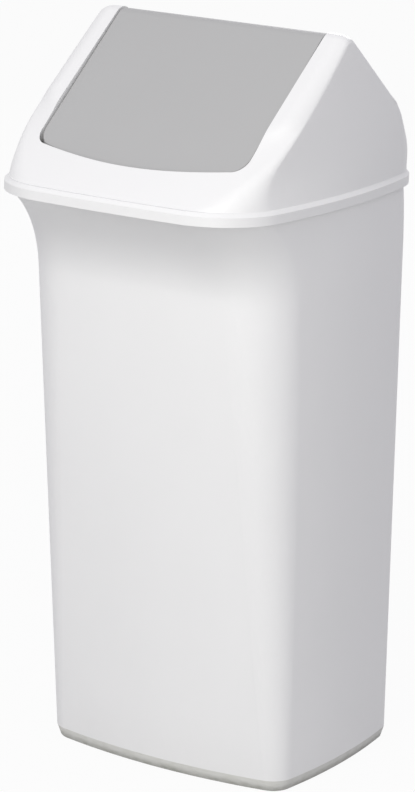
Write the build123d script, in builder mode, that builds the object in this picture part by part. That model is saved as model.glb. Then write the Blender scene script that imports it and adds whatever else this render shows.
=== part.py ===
from build123d import *
from math import atan2, cos, degrees, pi, radians, sin, sqrt, tan
import os

os.makedirs("parts", exist_ok=True)

# Overall size, with the lid on
width = 320.0
depth = 366.0
height = 747.0

# Body shell: how far its walls lie inside the lid band at the top, without the flare,
# and how far they draw in from there to the base
body_wall = 2.4
floor_thickness = 3.0
top_side_inset = 4.6
top_front_inset = 49.6
top_rear_inset = 4.2
side_draft = 10.3
front_draft = 69.8
rear_draft = 0.8
top_corner = 69.9
base_corner = 24.3
base_rear_corner = 13.0
least_corner = 3.0
base_front_radius = 600.0
top_front_radius = 760.0
body_side_radius = 675.0

# Foot of the body
foot_height = 8.5
foot_inset = 4.0
foot_round = 2.5
foot_ring = 12.0
foot_recess = 3.0
floor_top = foot_recess + floor_thickness

# Flare that carries the front out to the rim
flare_radius = 108.0
flare_steps = 6

# Rim bead under the lid
rim_bead_height = 7.0
rim_gap = 1.0
bead_step = 0.6
seat_gap = 0.2

# Lid: its whole height, and the band round its lower edge
lid_height = 159.5
band_height = 12.5
band_wall = 2.4
band_chamfer = 3.6
band_corner = 75.0
band_side_radius = 780.0
band_front_radius = 1550.0

# Hood
hood_wall = 2.4
front_step = 7.0
side_step = 4.0
rear_step = 4.0
cheek_lean = 5.6
cheek_radius = 1200.0
ridge_y = 17.0
ridge_radius = 17.0
crown_radius = 23.0
crown_reach = 21.0
rail_flat = 9.0
crease_radius = 6.0
rear_round = 32.0
hood_corner = 66.0
blend_height = 80.0
blend_steps = 6
blend_side = 115.0
corner_setback = 3.0
front_fade = 3.2
rear_fade = 0.8
crease_growth = 1.3

# Mouth of the hood, placed by the rails beside it and the aprons before and behind it
rail_width = 42.0
front_apron = 39.0
rear_apron = 33.0
mouth_bow = 16.0
mouth_rear_bow = 6.0
mouth_corner = 16.0
collar_wall = 2.2
collar_depth = 14.0

# Swing flap
flap_wall = 2.2
flap_flange = 7.0
flap_side_gap = 1.8
flap_end_gap = 4.0
flap_ridge_recess = 1.2
flap_end_recess = 5.0

# Hinge
pin_radius = 4.0
pin_head_radius = 7.0
pin_head = 3.0
pin_stop = 1.0
pin_chamfer = 0.6
pin_gap = 0.06
press_gap = 0.02
hub_radius = 14.0
hub_length = 14.0
ear_radius = 15.5
ear_thickness = 4.0
bush_wall = 1.8
bush_flange_radius = 8.5
bush_flange = 1.5
axial_gap = 0.3

# Balance weight under the rear leaf
weight_length = 80.0
weight_thickness = 3.0
weight_depth = 14.0
weight_gap = 0.15
clip_wall = 2.0
clip_lip = 2.5
weight_corner = 1.0
plastic_density = 1.05
steel_density = 7.85

# Working values: lap of solids that join, lengths taken as equal, and steps of a search
lap = 1.0
same_length = 0.01
halvings = 50
plan_steps = 20
crease_steps = 5

half_width = width / 2
front = -depth / 2
rear = depth / 2
band_bottom = height - lid_height
band_top = band_bottom + band_height
top_half_width = half_width - top_side_inset
top_front = front + top_front_inset
top_rear = rear - top_rear_inset
base_half_width = top_half_width - side_draft
base_front = top_front + front_draft
base_rear = top_rear - rear_draft
mouth_half_width = half_width - rail_width
mouth_front = front + front_apron
mouth_rear = rear - rear_apron
rim_top = band_top - hood_wall - seat_gap
rim_front = front + band_wall + rim_gap + bead_step
crown_start = mouth_half_width + rail_flat


def bow(radius, reach):
    """How far an arc falls away at a distance from its middle."""
    return radius - sqrt(radius ** 2 - reach ** 2)


def eased(share):
    """A share from 0 to 1 that sets off and arrives gently."""
    return share * share * (3 - 2 * share)


def bowed_outline(x_side, y_front, y_rear, side_radius, front_radius, corner, rear_corner):
    """Plan with four large arcs for sides and round corners, in the active sketch."""
    y_middle = (y_front + y_rear) / 2
    x_end = x_side
    for _ in range(plan_steps):
        y_1 = y_front + bow(front_radius, x_end)
        x_end = x_side - bow(side_radius, y_1 - y_middle)
    y_2 = 2 * y_middle - y_1
    with BuildLine() as edge:
        ThreePointArc((-x_end, y_1), (0, y_front), (x_end, y_1))
        ThreePointArc((x_end, y_1), (x_side, y_middle), (x_end, y_2))
        ThreePointArc((x_end, y_2), (0, y_rear), (-x_end, y_2))
        ThreePointArc((-x_end, y_2), (-x_side, y_middle), (-x_end, y_1))
    make_face(edge.edges())
    fillet(vertices().sort_by(Axis.Y)[:2], radius=corner)
    fillet(vertices().sort_by(Axis.Y)[-2:], radius=rear_corner)


def lid_plan(inset):
    """Plan of the lid band, inset from its outer face."""
    corner = band_corner - inset
    bowed_outline(half_width - inset, front + inset, rear - inset,
                  band_side_radius - inset, band_front_radius - inset, corner, corner)


# Body: straight tapering walls, then a flare that sweeps the front out to the rim

wall_lean = atan2(base_front - top_front, band_bottom)


def at_height(z, base_value, top_value):
    """Value of a straight taper at a height between the base and the lid band."""
    return base_value + (top_value - base_value) * z / band_bottom


def flare_end_angle():
    """Angle from the vertical at which the flare meets the rim, by halving."""
    low = wall_lean
    high = pi / 2
    for _ in range(halvings):
        middle = (low + high) / 2
        rise = flare_radius * (sin(middle) - sin(wall_lean))
        run = flare_radius * (cos(wall_lean) - cos(middle))
        if at_height(band_bottom - rise, base_front, top_front) - run > rim_front:
            low = middle
        else:
            high = middle
    return low


flare_angle = flare_end_angle()
flare_start = band_bottom - flare_radius * (sin(flare_angle) - sin(wall_lean))
flare_front = at_height(flare_start, base_front, top_front)


def body_plan(z, y_front, front_radius, inset):
    """Plan of the body at a height, inset from its skin, with its front given."""
    bowed_outline(at_height(z, base_half_width, top_half_width) - inset, y_front + inset,
                  at_height(z, base_rear, top_rear) - inset, body_side_radius - inset,
                  front_radius - inset, at_height(z, base_corner, top_corner) - inset,
                  max(at_height(z, base_rear_corner, top_corner) - inset, least_corner))


def flare_section(share, inset):
    """Plan of the flare at a share of its turn, in the active sketch."""
    turn = wall_lean + (flare_angle - wall_lean) * share
    run = flare_radius * (cos(wall_lean) - cos(turn))
    slant = inset * (1 / cos(turn) - 1 / cos(wall_lean))
    lower_radius = at_height(flare_start, base_front_radius, top_front_radius)
    radius = 1 / (share / band_front_radius + (1 - share) / lower_radius)
    body_plan(flare_height(share), flare_front - run + slant, radius, inset)


def flare_height(share):
    """Height of the flare at a share of its turn."""
    turn = wall_lean + (flare_angle - wall_lean) * share
    return flare_start + flare_radius * (sin(turn) - sin(wall_lean))


def body_form(inset, z_low):
    """Solid body, inset from its skin, from a low height up to its rim."""
    with BuildPart() as walls:
        for z, extra in ((z_low, foot_inset), (foot_height, 0), (flare_start, 0)):
            with BuildSketch(Plane.XY.offset(z)):
                body_plan(z, at_height(z, base_front, top_front),
                          at_height(z, base_front_radius, top_front_radius), inset + extra)
        loft(ruled=True)
    with BuildPart() as flare:
        for step in range(flare_steps + 1):
            with BuildSketch(Plane.XY.offset(flare_height(step / flare_steps))):
                flare_section(step / flare_steps, inset)
        loft()
    with BuildPart() as rim:
        with BuildSketch(Plane.XY.offset(band_bottom)):
            flare_section(1, inset)
        extrude(amount=rim_top - band_bottom)
    with BuildPart() as form:
        add(walls)
        add(flare)
        add(rim)
    return form.part


# Hood: two slopes over a rounded ridge, leaning cheeks, and corners that soften downwards

def ridge_slope(y_low):
    """Slope of the roof, from its rounded ridge to a point at the top of the band."""
    angle = pi / 4
    for _ in range(halvings):
        peak = height + ridge_radius * (1 / cos(angle) - 1)
        angle = atan2(peak - band_top, ridge_y - y_low)
    return angle


slope = ridge_slope(front + front_step)
ridge_z = height - ridge_radius
peak_z = ridge_z + ridge_radius / cos(slope)
blend_top = band_top + blend_height
cheek_tan = tan(radians(cheek_lean))


def cheek_half(z, inset):
    """Half width of the hood at a height, inset from its skin."""
    return half_width - side_step - inset - (z - band_top) * cheek_tan


def crown_drop(x, inset):
    """How far the shoulder of the roof has rolled down at a distance from the middle."""
    radius = crown_radius - inset
    return radius - sqrt(radius ** 2 - (x - crown_start) ** 2)


def above_roof(inset):
    """Everything above the roof: flat over the mouth, rolled down at the shoulders."""
    radius = ridge_radius - inset
    y_turn = radius * sin(slope)
    z_turn = ridge_z + radius * cos(slope)
    x_end = crown_start + crown_reach - inset
    x_half = crown_start + (crown_reach - inset) / 2
    drop = crown_drop(x_end, inset)
    half_drop = crown_drop(x_half, inset)
    down_front = Plane(origin=(0, ridge_y - y_turn, z_turn), x_dir=(-1, 0, 0),
                       z_dir=(0, cos(slope), sin(slope)))
    down_rear = Plane(origin=(0, ridge_y + y_turn, z_turn), x_dir=(-1, 0, 0),
                      z_dir=(0, cos(slope), -sin(slope)))

    def roof_profile():
        """Section square to the slope: the roof line, closed far above it."""
        with BuildLine() as edge:
            Line((-crown_start, 0), (crown_start, 0))
            ThreePointArc((crown_start, 0), (x_half, -half_drop), (x_end, -drop))
            Polyline((x_end, -drop), (width, -drop), (width, depth / 2),
                     (-width, depth / 2), (-width, -drop), (-x_end, -drop))
            ThreePointArc((-x_end, -drop), (-x_half, -half_drop), (-crown_start, 0))
        make_face(edge.edges())

    with BuildPart() as space:
        with BuildSketch(down_front):
            roof_profile()
        extrude(amount=-depth)
        with BuildSketch(down_front):
            roof_profile()
        revolve(axis=Axis((0, ridge_y, ridge_z), (-1, 0, 0)), revolution_arc=2 * degrees(slope))
        with BuildSketch(down_rear):
            roof_profile()
        extrude(amount=depth)
    return space.part


def roof_form(inset):
    """Upper part of the hood, above the blended corners, with its creases rounded."""
    with BuildPart() as cheeks:
        for z in (blend_top, height + ridge_radius):
            x_side = cheek_half(z, inset)
            x_end = x_side - bow(cheek_radius, rear)
            y_1 = ridge_y - rear
            y_2 = ridge_y + rear
            with BuildSketch(Plane.XY.offset(z)):
                with BuildLine():
                    Line((-x_end, y_1), (x_end, y_1))
                    ThreePointArc((x_end, y_1), (x_side, ridge_y), (x_end, y_2))
                    Line((x_end, y_2), (-x_end, y_2))
                    ThreePointArc((-x_end, y_2), (-x_side, ridge_y), (-x_end, y_1))
                make_face()
        loft(ruled=True)
    space = above_roof(inset)
    with BuildPart() as roof:
        add(cheeks)
        add(space, mode=Mode.SUBTRACT)
        creases = roof.edges().filter_by(GeomType.BSPLINE)
        fillet(creases, radius=crease_radius - inset)
    return roof.part


def rear_edge(z):
    """Rear of the hood at a height: an upright wall that rounds over into the slope."""
    wall = rear - rear_step
    corner_z = peak_z - (wall - ridge_y) * tan(slope)
    reach = rear_round * tan((pi / 2 - slope) / 2)
    start = corner_z - reach
    if z <= start:
        return wall
    if z >= corner_z + reach * sin(slope):
        return ridge_y + (peak_z - z) / tan(slope)
    return wall - rear_round + sqrt(rear_round ** 2 - (z - start) ** 2)


def blend_outline(z, inset):
    """Plan of the hood in the blended zone: wide round corners low down, creases at the top."""
    share = (z - band_top) / blend_height
    ease = eased(share)
    y_1 = front + front_step + (z - band_top) / tan(slope) + inset / sin(slope)
    y_2 = rear_edge(z) - inset * (1 + (1 / sin(slope) - 1) * ease)
    low_flat = half_width - blend_side
    x_flat = low_flat + (crown_start - low_flat) * ease ** 2
    x_side = cheek_half(z, inset)
    side_radius = 1 / (ease / cheek_radius + (1 - ease) / band_side_radius)
    drop = 0
    for _ in range(crease_steps):
        x_crease = x_side - bow(side_radius, (y_2 - y_1) / 2 - drop)
        low_drop = bow(band_front_radius, x_crease) + corner_setback
        x_roll = min(x_crease, crown_start + crown_reach - inset)
        top_drop = crown_drop(x_roll, inset) / sin(slope)
        drop = low_drop + (top_drop - low_drop) * ease
    fall = bow(band_front_radius, x_flat) * (1 - ease)
    softness = (1 - share) ** front_fade
    rear_softness = eased(min(1, (1 - share) / rear_fade))
    least = crease_radius * crease_growth - inset
    wide = hood_corner - crease_radius * crease_growth
    y_middle = (y_1 + y_2) / 2
    with BuildLine() as edge:
        front_arc = ThreePointArc((-x_flat, y_1 + fall), (0, y_1), (x_flat, y_1 + fall))
        rear_arc = ThreePointArc((x_flat, y_2 - fall), (0, y_2), (-x_flat, y_2 - fall))
        for side in (1, -1):
            x = x_crease * side
            ThreePointArc((x, y_1 + drop), (x_side * side, y_middle), (x, y_2 - drop))
            TangentArc((x_flat * side, y_1 + fall), (x, y_1 + drop),
                       tangent=(front_arc % 1) if side > 0 else (front_arc % 0) * -1)
            TangentArc((x_flat * side, y_2 - fall), (x, y_2 - drop),
                       tangent=(rear_arc % 0) * -1 if side > 0 else rear_arc % 1)
    make_face(edge.edges())
    creases = vertices().filter_by(lambda v: abs(abs(v.X) - x_crease) < same_length)
    fillet(creases.sort_by(Axis.Y)[:2], radius=least + wide * softness)
    creases = vertices().filter_by(lambda v: abs(abs(v.X) - x_crease) < same_length)
    fillet(creases.sort_by(Axis.Y)[-2:], radius=least + wide * rear_softness)


def hood_form(inset):
    """Whole hood above the band, inset from its skin."""
    roof = roof_form(inset)
    with BuildPart() as blend:
        for step in range(blend_steps):
            z = band_top + blend_height * step / blend_steps
            with BuildSketch(Plane.XY.offset(z)):
                blend_outline(z, inset)
        loft(sections=[*blend.pending_faces, roof.faces().sort_by(Axis.Z)[0]])
    with BuildPart() as form:
        add(roof)
        add(blend)
    return form.part


def mouth_plan(side_gap, end_gap):
    """Plan of the mouth, inset by a gap at its sides and another at its ends."""
    x = mouth_half_width - side_gap
    y_1 = mouth_front + end_gap
    y_2 = mouth_rear - end_gap
    with BuildLine() as edge:
        ThreePointArc((-x, y_1 + mouth_bow), (0, y_1), (x, y_1 + mouth_bow))
        Line((x, y_1 + mouth_bow), (x, y_2 - mouth_rear_bow))
        ThreePointArc((x, y_2 - mouth_rear_bow), (0, y_2), (-x, y_2 - mouth_rear_bow))
        Line((-x, y_2 - mouth_rear_bow), (-x, y_1 + mouth_bow))
    make_face(edge.edges())
    fillet(vertices(), radius=mouth_corner)


def prism(plan, low, high, *sizes):
    """Upright solid over a plan, between two heights."""
    with BuildPart() as solid:
        with BuildSketch(Plane.XY.offset(low)):
            plan(*sizes)
        extrude(amount=high - low)
    return solid.part


# Bin body: foot, walls, flare and a beaded rim, hollow and open at the top

with BuildPart() as bin_body:
    add(body_form(0, 0))
    fillet(faces().sort_by(Axis.Z)[0].edges(), radius=foot_round)
    add(prism(lid_plan, rim_top - rim_bead_height, rim_top, band_wall + rim_gap))
    add(body_form(body_wall, floor_top), mode=Mode.SUBTRACT)
    with BuildSketch():
        body_plan(0, base_front, base_front_radius, foot_inset + foot_ring)
    extrude(amount=foot_recess, mode=Mode.SUBTRACT)
bin_body.part.label = "bin_body"

# Hood: band, shell, mouth with its collar, and the two hinge ears

bush_radius = pin_radius + pin_gap + bush_wall
ear_outer = mouth_half_width + ear_thickness


def hinge_disc(radius, x_low, x_high):
    """Round bar about the hinge axis, between two places along it."""
    with BuildPart() as bar:
        with BuildSketch(Plane(origin=(x_low, ridge_y, ridge_z), x_dir=(0, 1, 0), z_dir=(1, 0, 0))):
            Circle(radius)
        extrude(amount=x_high - x_low)
    return bar.part


hood_skin = hood_form(0)
hood_hollow = hood_form(hood_wall)
with BuildPart() as band:
    add(prism(lid_plan, band_bottom, band_top, 0))
    chamfer(faces().sort_by(Axis.Z)[-1].edges(), length=band_chamfer)
with BuildPart() as collar:
    add(hood_skin)
    add(prism(mouth_plan, band_top, height, -collar_wall, -collar_wall), mode=Mode.INTERSECT)
    add(hood_skin.moved(Location((0, 0, -collar_depth))), mode=Mode.SUBTRACT)
with BuildPart() as lid_hood:
    add(hood_skin)
    add(band)
    add(prism(lid_plan, band_bottom, rim_top + seat_gap, band_wall), mode=Mode.SUBTRACT)
    add(hood_hollow, mode=Mode.SUBTRACT)
    extrude(hood_hollow.faces().sort_by(Axis.Z)[0], amount=band_top - rim_top, mode=Mode.SUBTRACT)
    add(collar)
    for side in (1, -1):
        ends = sorted((side * (mouth_half_width - lap), side * ear_outer))
        add(hinge_disc(ear_radius, *ends))
    add(prism(mouth_plan, band_bottom, height, 0, 0), mode=Mode.SUBTRACT)
    add(hinge_disc(bush_radius + press_gap, -ear_outer, ear_outer), mode=Mode.SUBTRACT)
lid_hood.part.label = "lid_hood"

# Swing flap: two leaves over the ridge with a flange all round, and a hub at each side

leaf_radius = ridge_radius - flap_ridge_recess
leaf_slope = slope + atan2(flap_end_recess - flap_ridge_recess, ridge_y - mouth_front)
flap_end = mouth_half_width - flap_side_gap


def under_leaves(depth_in):
    """Everything under a surface that lies at a depth inside the two leaves."""
    radius = leaf_radius - depth_in
    y_turn = radius * sin(leaf_slope)
    z_turn = radius * cos(leaf_slope)
    fall = depth * tan(leaf_slope)
    with BuildPart() as space:
        with BuildSketch(Plane(origin=(-half_width, ridge_y, ridge_z), x_dir=(0, 1, 0),
                               z_dir=(1, 0, 0))):
            with BuildLine() as edge:
                ThreePointArc((-y_turn, z_turn), (0, radius), (y_turn, z_turn))
                Polyline((y_turn, z_turn), (y_turn + depth, z_turn - fall),
                         (-y_turn - depth, z_turn - fall), (-y_turn, z_turn))
            make_face(edge.edges())
        extrude(amount=width)
    return space.part


with BuildPart() as shell:
    add(under_leaves(0))
    add(under_leaves(flap_flange), mode=Mode.SUBTRACT)
    add(prism(mouth_plan, band_bottom, height, flap_side_gap, flap_end_gap), mode=Mode.INTERSECT)
with BuildPart() as hollow:
    add(under_leaves(flap_wall))
    add(prism(mouth_plan, band_bottom, height, flap_side_gap + flap_wall,
              flap_end_gap + flap_wall), mode=Mode.INTERSECT)
with BuildPart() as bare_flap:
    add(shell)
    add(hollow, mode=Mode.SUBTRACT)
    add(hinge_disc(hub_radius, -flap_end, hub_length - flap_end))
    add(hinge_disc(hub_radius, flap_end - hub_length, flap_end))
    add(hinge_disc(pin_radius + press_gap, -flap_end, flap_end), mode=Mode.SUBTRACT)

# Pocket for the balance weight, at the place along the rear leaf where the flap hangs shut

pocket_depth = flap_wall + weight_thickness + 2 * weight_gap + clip_wall
pocket_length = weight_length + 2 * (weight_gap + clip_wall)
pocket_width = weight_depth + 2 * (weight_gap + clip_wall)


def rear_leaf(along):
    """Plane on the outer face of the rear leaf, at a distance down it from the ridge."""
    return Plane(origin=(0, ridge_y + leaf_radius * sin(leaf_slope) + along * cos(leaf_slope),
                         ridge_z + leaf_radius * cos(leaf_slope) - along * sin(leaf_slope)),
                 x_dir=(1, 0, 0), z_dir=(0, sin(leaf_slope), cos(leaf_slope)))


def block_under(plane, length, across, top, bottom):
    """Block under a plane, between two depths."""
    with BuildPart() as block:
        with BuildSketch(plane.offset(-bottom)):
            Rectangle(length, across)
        extrude(amount=bottom - top)
    return block.part


def pocket(along):
    """Walls and lip that hold the weight against the underside of the leaf."""
    plane = rear_leaf(along)
    with BuildPart() as walls:
        add(block_under(plane, pocket_length, pocket_width, flap_wall / 2, pocket_depth))
        add(block_under(plane, pocket_length - 2 * clip_wall, pocket_width - 2 * clip_wall,
                        flap_wall / 2, pocket_depth - clip_wall), mode=Mode.SUBTRACT)
        add(block_under(plane, weight_length - 2 * clip_lip, weight_depth - 2 * clip_lip,
                        flap_wall, pocket_depth), mode=Mode.SUBTRACT)
        add(block_under(plane, pocket_length, pocket_width, 0, flap_wall), mode=Mode.SUBTRACT)
    return walls.part


tilt_moment = bare_flap.part.volume * (ridge_y - bare_flap.part.center(CenterOf.MASS).Y)
counter_volume = (weight_length * weight_depth * weight_thickness * steel_density
                  / plastic_density + pocket(0).volume)
arm = tilt_moment / counter_volume
weight_middle = flap_wall + weight_gap + weight_thickness / 2
place = (arm - (leaf_radius - weight_middle) * sin(leaf_slope)) / cos(leaf_slope)

with BuildPart() as swing_flap:
    add(bare_flap)
    add(pocket(place))
swing_flap.part.label = "swing_flap"

with BuildPart() as balance_weight:
    add(block_under(rear_leaf(place), weight_length, weight_depth, flap_wall + weight_gap,
                    flap_wall + weight_gap + weight_thickness))
    fillet(edges().filter_by(lambda e: abs(e.length - weight_thickness) < same_length),
           radius=weight_corner)
balance_weight.part.label = "balance_weight"

# Hinge pins in the hubs of the flap, and flanged bushes in the ears of the hood

pin_inner = flap_end - hub_length + pin_stop
head_inner = ear_outer + axial_gap


def hinge_pin(side):
    """Headed pin: its shank pressed in the hub, its head outside the ear."""
    with BuildPart() as pin:
        add(hinge_disc(pin_radius, *sorted((side * pin_inner, side * (head_inner + lap)))))
        add(hinge_disc(pin_head_radius, *sorted((side * head_inner,
                                                 side * (head_inner + pin_head)))))
        chamfer(edges().filter_by(GeomType.CIRCLE).sort_by(Axis.X)[-1 if side > 0 else 0],
                length=pin_chamfer)
        chamfer(edges().filter_by(GeomType.CIRCLE).sort_by(Axis.X)[0 if side > 0 else -1],
                length=pin_chamfer)
    return pin.part


def hinge_bush(side):
    """Flanged sleeve: the flange lies against the inner face of the ear."""
    seat = mouth_half_width
    with BuildPart() as bush:
        add(hinge_disc(bush_radius, *sorted((side * seat, side * ear_outer))))
        add(hinge_disc(bush_flange_radius, *sorted((side * (seat - bush_flange), side * seat))))
        add(hinge_disc(pin_radius + pin_gap, -half_width, half_width), mode=Mode.SUBTRACT)
    return bush.part


hinge_pin_left = hinge_pin(-1)
hinge_pin_left.label = "hinge_pin_left"
hinge_pin_right = hinge_pin(1)
hinge_pin_right.label = "hinge_pin_right"
hinge_bush_left = hinge_bush(-1)
hinge_bush_left.label = "hinge_bush_left"
hinge_bush_right = hinge_bush(1)
hinge_bush_right.label = "hinge_bush_right"

export_step(bin_body.part, "parts/bin_body.step")
export_step(lid_hood.part, "parts/lid_hood.step")
export_step(swing_flap.part, "parts/swing_flap.step")
export_step(balance_weight.part, "parts/balance_weight.step")
export_step(hinge_pin_left, "parts/hinge_pin_left.step")
export_step(hinge_pin_right, "parts/hinge_pin_right.step")
export_step(hinge_bush_left, "parts/hinge_bush_left.step")
export_step(hinge_bush_right, "parts/hinge_bush_right.step")
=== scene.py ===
# %% [markdown]
# A waste bin with a swinging flap, dressed over its measured solids.
# The solids come in first as a fixed frame, in metres, with the floor at z = 0 and the
# flared front towards -Y. Everything made below is placed from them, so nothing drifts.

# %% Load the solids
import bpy
import bmesh
from math import cos, radians, sin
from mathutils import Matrix, Vector


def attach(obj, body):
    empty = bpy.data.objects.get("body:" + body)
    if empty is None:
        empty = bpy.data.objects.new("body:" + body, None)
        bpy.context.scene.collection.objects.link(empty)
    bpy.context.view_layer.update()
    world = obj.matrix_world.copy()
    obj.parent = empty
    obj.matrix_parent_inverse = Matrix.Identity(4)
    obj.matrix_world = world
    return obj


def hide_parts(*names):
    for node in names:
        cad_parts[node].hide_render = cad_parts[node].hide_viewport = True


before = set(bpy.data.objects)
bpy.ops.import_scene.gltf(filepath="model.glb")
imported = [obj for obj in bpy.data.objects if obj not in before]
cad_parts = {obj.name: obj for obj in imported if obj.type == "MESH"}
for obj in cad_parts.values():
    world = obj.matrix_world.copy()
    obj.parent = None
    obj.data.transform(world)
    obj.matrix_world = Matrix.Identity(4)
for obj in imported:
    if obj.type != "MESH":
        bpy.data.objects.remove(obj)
bpy.context.scene.view_settings.view_transform = "Standard"
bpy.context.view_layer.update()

# %% [markdown]
# The camera stands where the picture was taken: turned to the right of the front, a little
# above the lid, and far off. Its place was found by matching the rim, the foot, the walls
# and the flap, and is written down as angles in degrees, distances in metres and a focal
# length in pixels of the picture. A short lens close by could fill the same frame, but its
# upright lines would run together more than those in the picture do, so the lens is long
# and the camera stands well back.

# %% Camera
TURN, DIP, TILT = radians(32.272), radians(14.7946), radians(2.0017)
DISTANCE, ACROSS, UPWARD = 3.3334, 0.00543, 0.00032
MIDDLE = Vector((0, 0, 0.3735))
FOCAL_PIXELS, PICTURE_HEIGHT, SENSOR = 3366.8, 792, 36
FAR_END = 40


def placed(name, data):
    """Puts a camera, a lamp or a mesh in the scene, at the origin."""
    made = bpy.data.objects.new(name, data)
    bpy.context.scene.collection.objects.link(made)
    return made


away = Vector((sin(TURN) * cos(DIP), -cos(TURN) * cos(DIP), sin(DIP)))
level = Vector((cos(TURN), sin(TURN), 0))
upright = away.cross(level)
right = level * cos(TILT) + upright * sin(TILT)
top = upright * cos(TILT) - level * sin(TILT)
stand = MIDDLE + away * DISTANCE + level * ACROSS + upright * UPWARD

lens = bpy.data.cameras.new("picture_camera")
lens.sensor_width = SENSOR
lens.lens = FOCAL_PIXELS / PICTURE_HEIGHT * SENSOR
lens.clip_end = FAR_END
camera = placed("picture_camera", lens)
camera.matrix_world = Matrix.Translation(stand) @ Matrix(
    (right, top, away)).transposed().to_4x4()
bpy.context.scene.camera = camera
print("camera", [round(v, 3) for v in stand], "lens", round(lens.lens, 1))

# %% [markdown]
# Shader arithmetic could be built node by node, but it reads best as ordinary expressions.
# This class holds one socket of a node tree, and each operator adds the Math node that does
# the sum. The reflected forms let a plain number stand first, as in 1 - mask.


# %% Shader sums
class Wire:
    """An output socket that can be used in sums."""

    def __init__(self, graph, socket):
        self.graph = graph
        self.socket = socket

    def __add__(self, other):
        return self.graph.maths("ADD", self, other)

    def __radd__(self, other):
        return self.graph.maths("ADD", other, self)

    def __sub__(self, other):
        return self.graph.maths("SUBTRACT", self, other)

    def __rsub__(self, other):
        return self.graph.maths("SUBTRACT", other, self)

    def __mul__(self, other):
        return self.graph.maths("MULTIPLY", self, other)

    def __rmul__(self, other):
        return self.graph.maths("MULTIPLY", other, self)

    def swing(self, reach):
        """Turns a noise, which runs from 0 to 1, into a swing about nought."""
        return (self - 0.5) * reach


print("shader sums in", Wire.__name__)

# %% [markdown]
# Any other node comes from one method that takes the node's type, its settings and the
# values of its sockets. The rest of the class gives plain names to the few nodes that the
# finishes below are made of. Every pattern reads its piece's own coordinates, so it moves
# with the piece when the flap swings or the lid lifts off.


# %% Node trees
class Graph:
    """The node tree of one material, or of the world, with the shader it starts with."""

    def __init__(self, owner, shader="Principled BSDF"):
        owner.use_nodes = True
        self.owner = owner
        self.tree = owner.node_tree
        self.shader = self.tree.nodes[shader]

    def feed(self, socket, value):
        """Links a wire to a socket, or sets the socket to a plain value."""
        if isinstance(value, Wire):
            self.tree.links.new(value.socket, socket)
        else:
            socket.default_value = value

    def node(self, kind, settings, values, output=0):
        """Adds a node: its settings are set first, then its sockets are filled."""
        made = self.tree.nodes.new(kind)
        for key, value in settings.items():
            setattr(made, key, value)
        for key, value in values.items():
            self.feed(made.inputs[key], value)
        return Wire(self, made.outputs[output])

    def maths(self, operation, first, second):
        """One operation on two values."""
        return self.node("ShaderNodeMath", {"operation": operation},
                         {0: first, 1: second})

    def place(self):
        """Place on the object, in metres."""
        return self.node("ShaderNodeTexCoord", {}, {}, "Object")

    def noise(self, scale, detail, stretch=(1, 1, 1)):
        """Noise over the object, scale in bumps per metre."""
        spot = self.node("ShaderNodeMapping", {}, {"Vector": self.place(), "Scale": stretch})
        return self.node("ShaderNodeTexNoise", {},
                         {"Vector": spot, "Scale": scale, "Detail": detail}, "Fac")

    def height(self):
        """Height over the floor at rest, in metres."""
        return self.node("ShaderNodeSeparateXYZ", {}, {"Vector": self.place()}, "Z")

    def between(self, value, low, high):
        """Nought below low, one above high, and smooth in between."""
        return self.node("ShaderNodeMapRange", {"interpolation_type": "SMOOTHSTEP"},
                         {"Value": value, "From Min": low, "From Max": high}, "Result")

    def tint(self, share, first, second):
        """One colour turning into another."""
        return self.node("ShaderNodeMix", {"data_type": "RGBA"},
                         {0: share, 6: first, 7: second}, 2)

    def bumps(self, height, depth, under=None):
        """Relief from a height, depth in metres."""
        values = {"Height": height, "Distance": depth, "Strength": 1.0}
        if under is not None:
            values["Normal"] = under
        return self.node("ShaderNodeBump", {}, values)

    def finish(self, **values):
        """Fills the shader's sockets and gives back the material or the world."""
        for key, value in values.items():
            self.feed(self.shader.inputs[key.replace("_", " ")], value)
        print("finish", self.owner.name, "nodes", len(self.tree.nodes))
        return self.owner


print("node trees in", Graph.__name__)

# %% [markdown]
# The body draws in over its last few millimetres above the floor, and that foot is painted
# grey as shade, darker at the floor and patchy with scuffs. The line round the real foot's
# top lies 4 mm higher than on the solid. A painted band alone would part from the turn in
# the shading, so the skin's own ring of points is lifted along the walls, and the painted
# shade ends at the same height. Only the front wall leans much, so a point moves forward by
# its distance from the rear.

# %% Foot
SOLID_FOOT, FOOT = 0.0085, 0.0125
FRONT_LEAN = 0.119
SAME_PLACE = 0.00001
FOOT_BLUR = 0.0004
# Painted shade on the foot: a grey band, darkest at the floor, stronger in scuff patches.
SCUFF_AND_SHADE_PATCH_SCALE, PATCHES = 90, (0.35, 0.75)
PAINTED_SHADE_HEIGHTS = (0.0015, 0.009)
LOW_PAINTED_SHADE, HIGH_PAINTED_SHADE = (0.36, 0.36, 0.33, 1), (0.60, 0.60, 0.565, 1)
PAINTED_SHADE_SHARE, FOOT_DULLNESS, SCUFF_DULLNESS = 0.75, 0.2, 0.04


def taller_foot(shape):
    """Lifts the ring of points at the top of the foot along the walls."""
    ring = [v for v in shape.verts if abs(v.co.z - SOLID_FOOT) < SAME_PLACE]
    lift = FOOT - SOLID_FOOT
    rear = max(v.co.y for v in ring)
    reach = rear - min(v.co.y for v in ring)
    for v in ring:
        forward = lift * FRONT_LEAN * (rear - v.co.y) / reach
        bmesh.ops.translate(shape, verts=[v], vec=(0, -forward, lift))
    print("foot line lifted", len(ring), "points")


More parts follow.
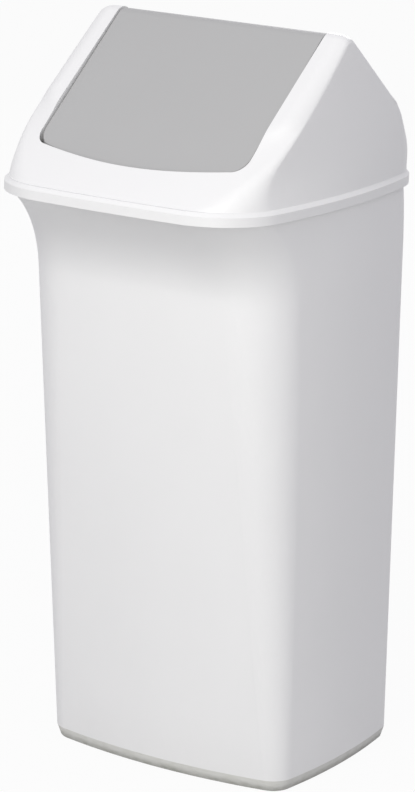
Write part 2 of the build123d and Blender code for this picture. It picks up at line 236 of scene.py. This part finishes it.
def foot_shade_and_scuffs(graph, paint, dull):
    """Lays painted shade, darker at the floor and stronger in scuffs, over the foot up to
    the line.
    """
    foot = 1 - graph.between(graph.height(), FOOT - FOOT_BLUR, FOOT + FOOT_BLUR)
    scuffs_and_shade_patches = graph.between(graph.noise(SCUFF_AND_SHADE_PATCH_SCALE, 4, (1, 1, 3)), *PATCHES)
    # Painted shade, darkest at the floor and paler further up the foot.
    painted_shade = graph.tint(graph.between(graph.height(), *PAINTED_SHADE_HEIGHTS), LOW_PAINTED_SHADE, HIGH_PAINTED_SHADE)
    paint = graph.tint(foot * (PAINTED_SHADE_SHARE + scuffs_and_shade_patches * (1 - PAINTED_SHADE_SHARE)), paint, painted_shade)
    return paint, dull + foot * FOOT_DULLNESS + scuffs_and_shade_patches * SCUFF_DULLNESS


print("foot line", SOLID_FOOT, "goes to", FOOT)

# %% [markdown]
# The body and the hood are moulded in the same pale polypropylene. A real moulding isn't
# one flat colour: flow leaves faint clouds, cooling leaves slow ripples, and a mould with
# a spark-eroded surface leaves a fine grain that breaks up the shine. Each of these is one
# noise at its own size, because one noise can't be both a cloud and a grain.

# %% Pale moulded plastic
CLOUDS, RIPPLES, GRAIN = 9, 14, 1900
CLOUD_SHINE, GRAIN_SHINE = 0.10, 0.12
RIPPLE_DEPTH = 0.0004


def moulded(name, colour, shade, roughness, grain_depth, on_floor=False):
    """Satin plastic with clouds in its colour, a grain in its relief and uneven shine."""
    graph = Graph(bpy.data.materials.new(name))
    clouds = graph.noise(CLOUDS, 2, (1, 1, 0.5))
    grain = graph.noise(GRAIN, 2)
    ripple = graph.noise(RIPPLES, 1)
    dull = roughness + clouds.swing(CLOUD_SHINE) + grain.swing(GRAIN_SHINE)
    paint = graph.tint(clouds, (*shade, 1), (*colour, 1))
    # On the body, painted shade and scuffs are laid over the foot.
    if on_floor:
        paint, dull = foot_shade_and_scuffs(graph, paint, dull)
    wave = graph.bumps(ripple, RIPPLE_DEPTH)
    return graph.finish(Base_Color=paint, Roughness=dull,
                        Normal=graph.bumps(grain, grain_depth, wave), IOR=1.49)


body_plastic = moulded("body_plastic", (0.825, 0.825, 0.825), (0.785, 0.785, 0.785),
                       roughness=0.42, grain_depth=0.00003, on_floor=True)
# The hood is the body's plastic set darker as painted shade, offsetting the stronger light
# on its upturned faces.
hood_plastic = moulded("hood_plastic", (0.78, 0.78, 0.78), (0.76, 0.76, 0.76),
                       roughness=0.36, grain_depth=0.00002)

# %% [markdown]
# The flap is a grey moulding with a coarser, duller texture, so that finger marks don't
# show. It could have a material of its own kind, but the same maker serves, with a deeper
# grain and a higher roughness.

# %% Grey flap plastic
flap_plastic = moulded("flap_plastic", (0.405, 0.405, 0.405), (0.39, 0.39, 0.39),
                       roughness=0.55, grain_depth=0.00005)

# %% [markdown]
# The bushes are a smooth cream acetal. The hinge pins are turned steel, which shows fine
# rings round the axis, and the weight is a sheared strip with lengthwise rolling marks.
# Marks could be drawn one by one, but a noise stretched along one axis gives them all
# their direction at once.

# %% Bush plastic, turned pins and rolled strip
MARKS, TARNISH = 700, 60
MARK_SHINE, MARK_DEPTH = 0.22, 0.00003


def steel(name, colour, shade, stretch, roughness):
    """Bare steel with marks drawn out in one direction and a little tarnish."""
    graph = Graph(bpy.data.materials.new(name))
    marks = graph.noise(MARKS, 3, stretch)
    tarnish = graph.between(graph.noise(TARNISH, 4), *PATCHES)
    return graph.finish(Base_Color=graph.tint(tarnish, (*colour, 1), (*shade, 1)),
                        Roughness=roughness + marks.swing(MARK_SHINE), Metallic=1.0,
                        Normal=graph.bumps(marks, MARK_DEPTH))


bush_plastic = moulded("bush_plastic", (0.79, 0.76, 0.68), (0.76, 0.73, 0.65),
                       roughness=0.30, grain_depth=0.00001)
pin_steel = steel("pin_steel", (0.60, 0.60, 0.61), (0.50, 0.49, 0.48),
                  stretch=(6, 0.4, 0.4), roughness=0.30)
weight_steel = steel("weight_steel", (0.42, 0.43, 0.45), (0.32, 0.30, 0.28),
                     stretch=(0.05, 3, 3), roughness=0.45)

# %% [markdown]
# The solids arrive as loose triangles with flat shading. For a moulding that is a pity: its
# rolled shoulders should shade smoothly and its edges should catch a thin line of light. A
# copy is merged into one skin, its faces are smoothed, and a narrow bevel rounds each edge
# that turns by more than 28 degrees. The solid itself stays untouched behind it.

# %% Skins over the solids
SHARP = radians(28)
MOULDED_EDGE, HINGE_EDGE, STRIP_EDGE = 0.0004, 0.0002, 0.0003


def skin(node, body, finish, edge, reshape=None):
    """Smooth copy of a solid, with a bevel of a given width on its sharp edges."""
    shape = bmesh.new()
    shape.from_mesh(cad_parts[node].data)
    bmesh.ops.remove_doubles(shape, verts=shape.verts, dist=SAME_PLACE)
    if reshape:
        reshape(shape)
    for face in shape.faces:
        face.smooth = True
    for line in shape.edges:
        line.smooth = line.calc_face_angle(0) < SHARP
    mesh = bpy.data.meshes.new(node + "_skin")
    shape.to_mesh(mesh)
    shape.free()
    mesh.materials.append(finish)
    piece = placed(node + "_skin", mesh)
    rounding = piece.modifiers.new("edge", "BEVEL")
    rounding.limit_method = "ANGLE"
    rounding.angle_limit = SHARP
    rounding.width = edge
    rounding.segments = 2
    even = piece.modifiers.new("even", "WEIGHTED_NORMAL")
    even.keep_sharp = True
    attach(piece, body)
    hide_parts(node)
    print(node, "faces", len(mesh.polygons))


skin("bin_body", "bin", body_plastic, MOULDED_EDGE, taller_foot)
skin("lid_hood", "hood", hood_plastic, MOULDED_EDGE)
skin("swing_flap", "flap", flap_plastic, MOULDED_EDGE)
for side in ("left", "right"):
    skin("hinge_pin_" + side, "flap", pin_steel, HINGE_EDGE)
    skin("hinge_bush_" + side, "hood", bush_plastic, HINGE_EDGE)
skin("balance_weight", "flap", weight_steel, STRIP_EDGE)

# %% [markdown]
# The floor is one large grey sheet. To the camera it is mostly the white of the page, with
# enough real shading left in it to keep the bin's soft shadow. A white floor would do that
# too, but it would throw light up at the bin. Light Path tells the two apart, so the bin is
# lit by the grey one. Rays that were mirrored or passed through glass count as seen too, so
# that steel shows the same page.

# %% Floor
FLOOR_REACH = 6
PAGE_SHARE = 0.95


def seen_rays(graph):
    """One for what the camera sees, directly or in a shiny or clear surface."""
    seen = graph.node("ShaderNodeLightPath", {}, {}, "Is Camera Ray")
    path = seen.socket.node
    for name in ("Is Glossy Ray", "Is Transmission Ray"):
        seen = graph.maths("MAXIMUM", seen, Wire(graph, path.outputs[name]))
    return seen


def show(graph, share, shown, output):
    """Mixes a share of a second shader over the first and leads both to the output."""
    mixed = graph.node("ShaderNodeMixShader", {}, {
        0: share, 1: Wire(graph, graph.shader.outputs[0]), 2: shown})
    graph.feed(graph.tree.nodes[output].inputs["Surface"], mixed)


sheet = bmesh.new()
bmesh.ops.create_grid(sheet, x_segments=1, y_segments=1, size=FLOOR_REACH)
floor_mesh = bpy.data.meshes.new("floor")
sheet.to_mesh(floor_mesh)
sheet.free()
floor = placed("floor", floor_mesh)
page = Graph(bpy.data.materials.new("page"))
floor_mesh.materials.append(page.finish(
    Base_Color=(0.45, 0.45, 0.45, 1), Roughness=0.9, Specular_IOR_Level=0.1))
glow = page.node("ShaderNodeEmission", {}, {"Color": (1, 1, 1, 1), "Strength": 1.0})
show(page, seen_rays(page) * PAGE_SHARE, glow, "Material Output")
print("floor", 2 * FLOOR_REACH, "metres square")

# %% [markdown]
# A studio is mostly soft light from everywhere. The key is a box a metre wide, high before
# the bin: it makes the lid brightest and leaves a shade under its band. The corner light
# stands low near the camera and lifts the front corner, while the right side stays in a
# cool half shade. The back light keeps the rear from going dull when the bin is seen from
# there. The world gives the even part, and the camera sees it as nearly the page's white.

# %% World and lamps
sky = Graph(bpy.data.worlds.new("studio"), "Background")
bpy.context.scene.world = sky.finish(Color=(0.935, 0.92, 1.0, 1), Strength=0.60)
paper = sky.node("ShaderNodeBackground", {},
                 {"Color": (0.97, 0.97, 0.97, 1), "Strength": 1.0})
show(sky, seen_rays(sky), paper, "World Output")


def softbox(name, place, target, size, power, colour):
    """Square area lamp that points at a target."""
    lamp = bpy.data.lights.new(name, "AREA")
    lamp.size = size
    lamp.energy = power
    lamp.color = colour
    holder = placed(name, lamp)
    holder.matrix_world = Matrix.Translation(place) @ (
        Vector(target) - Vector(place)).to_track_quat("-Z", "Y").to_matrix().to_4x4()
    print("lamp", name, power)


softbox("key", (0.2, -2.4, 2.9), (0, 0, 0.4),
        size=1.0, power=45, colour=(1.0, 1.0, 0.96))
softbox("corner light", (1.5, -2.75, 1.0), (0, 0, 0.35),
        size=1.0, power=31, colour=(1.0, 1.0, 0.95))
softbox("back light", (-1.1, 3.0, 1.8), (0, 0, 0.35),
        size=1.2, power=24, colour=(1.0, 1.0, 1.0))
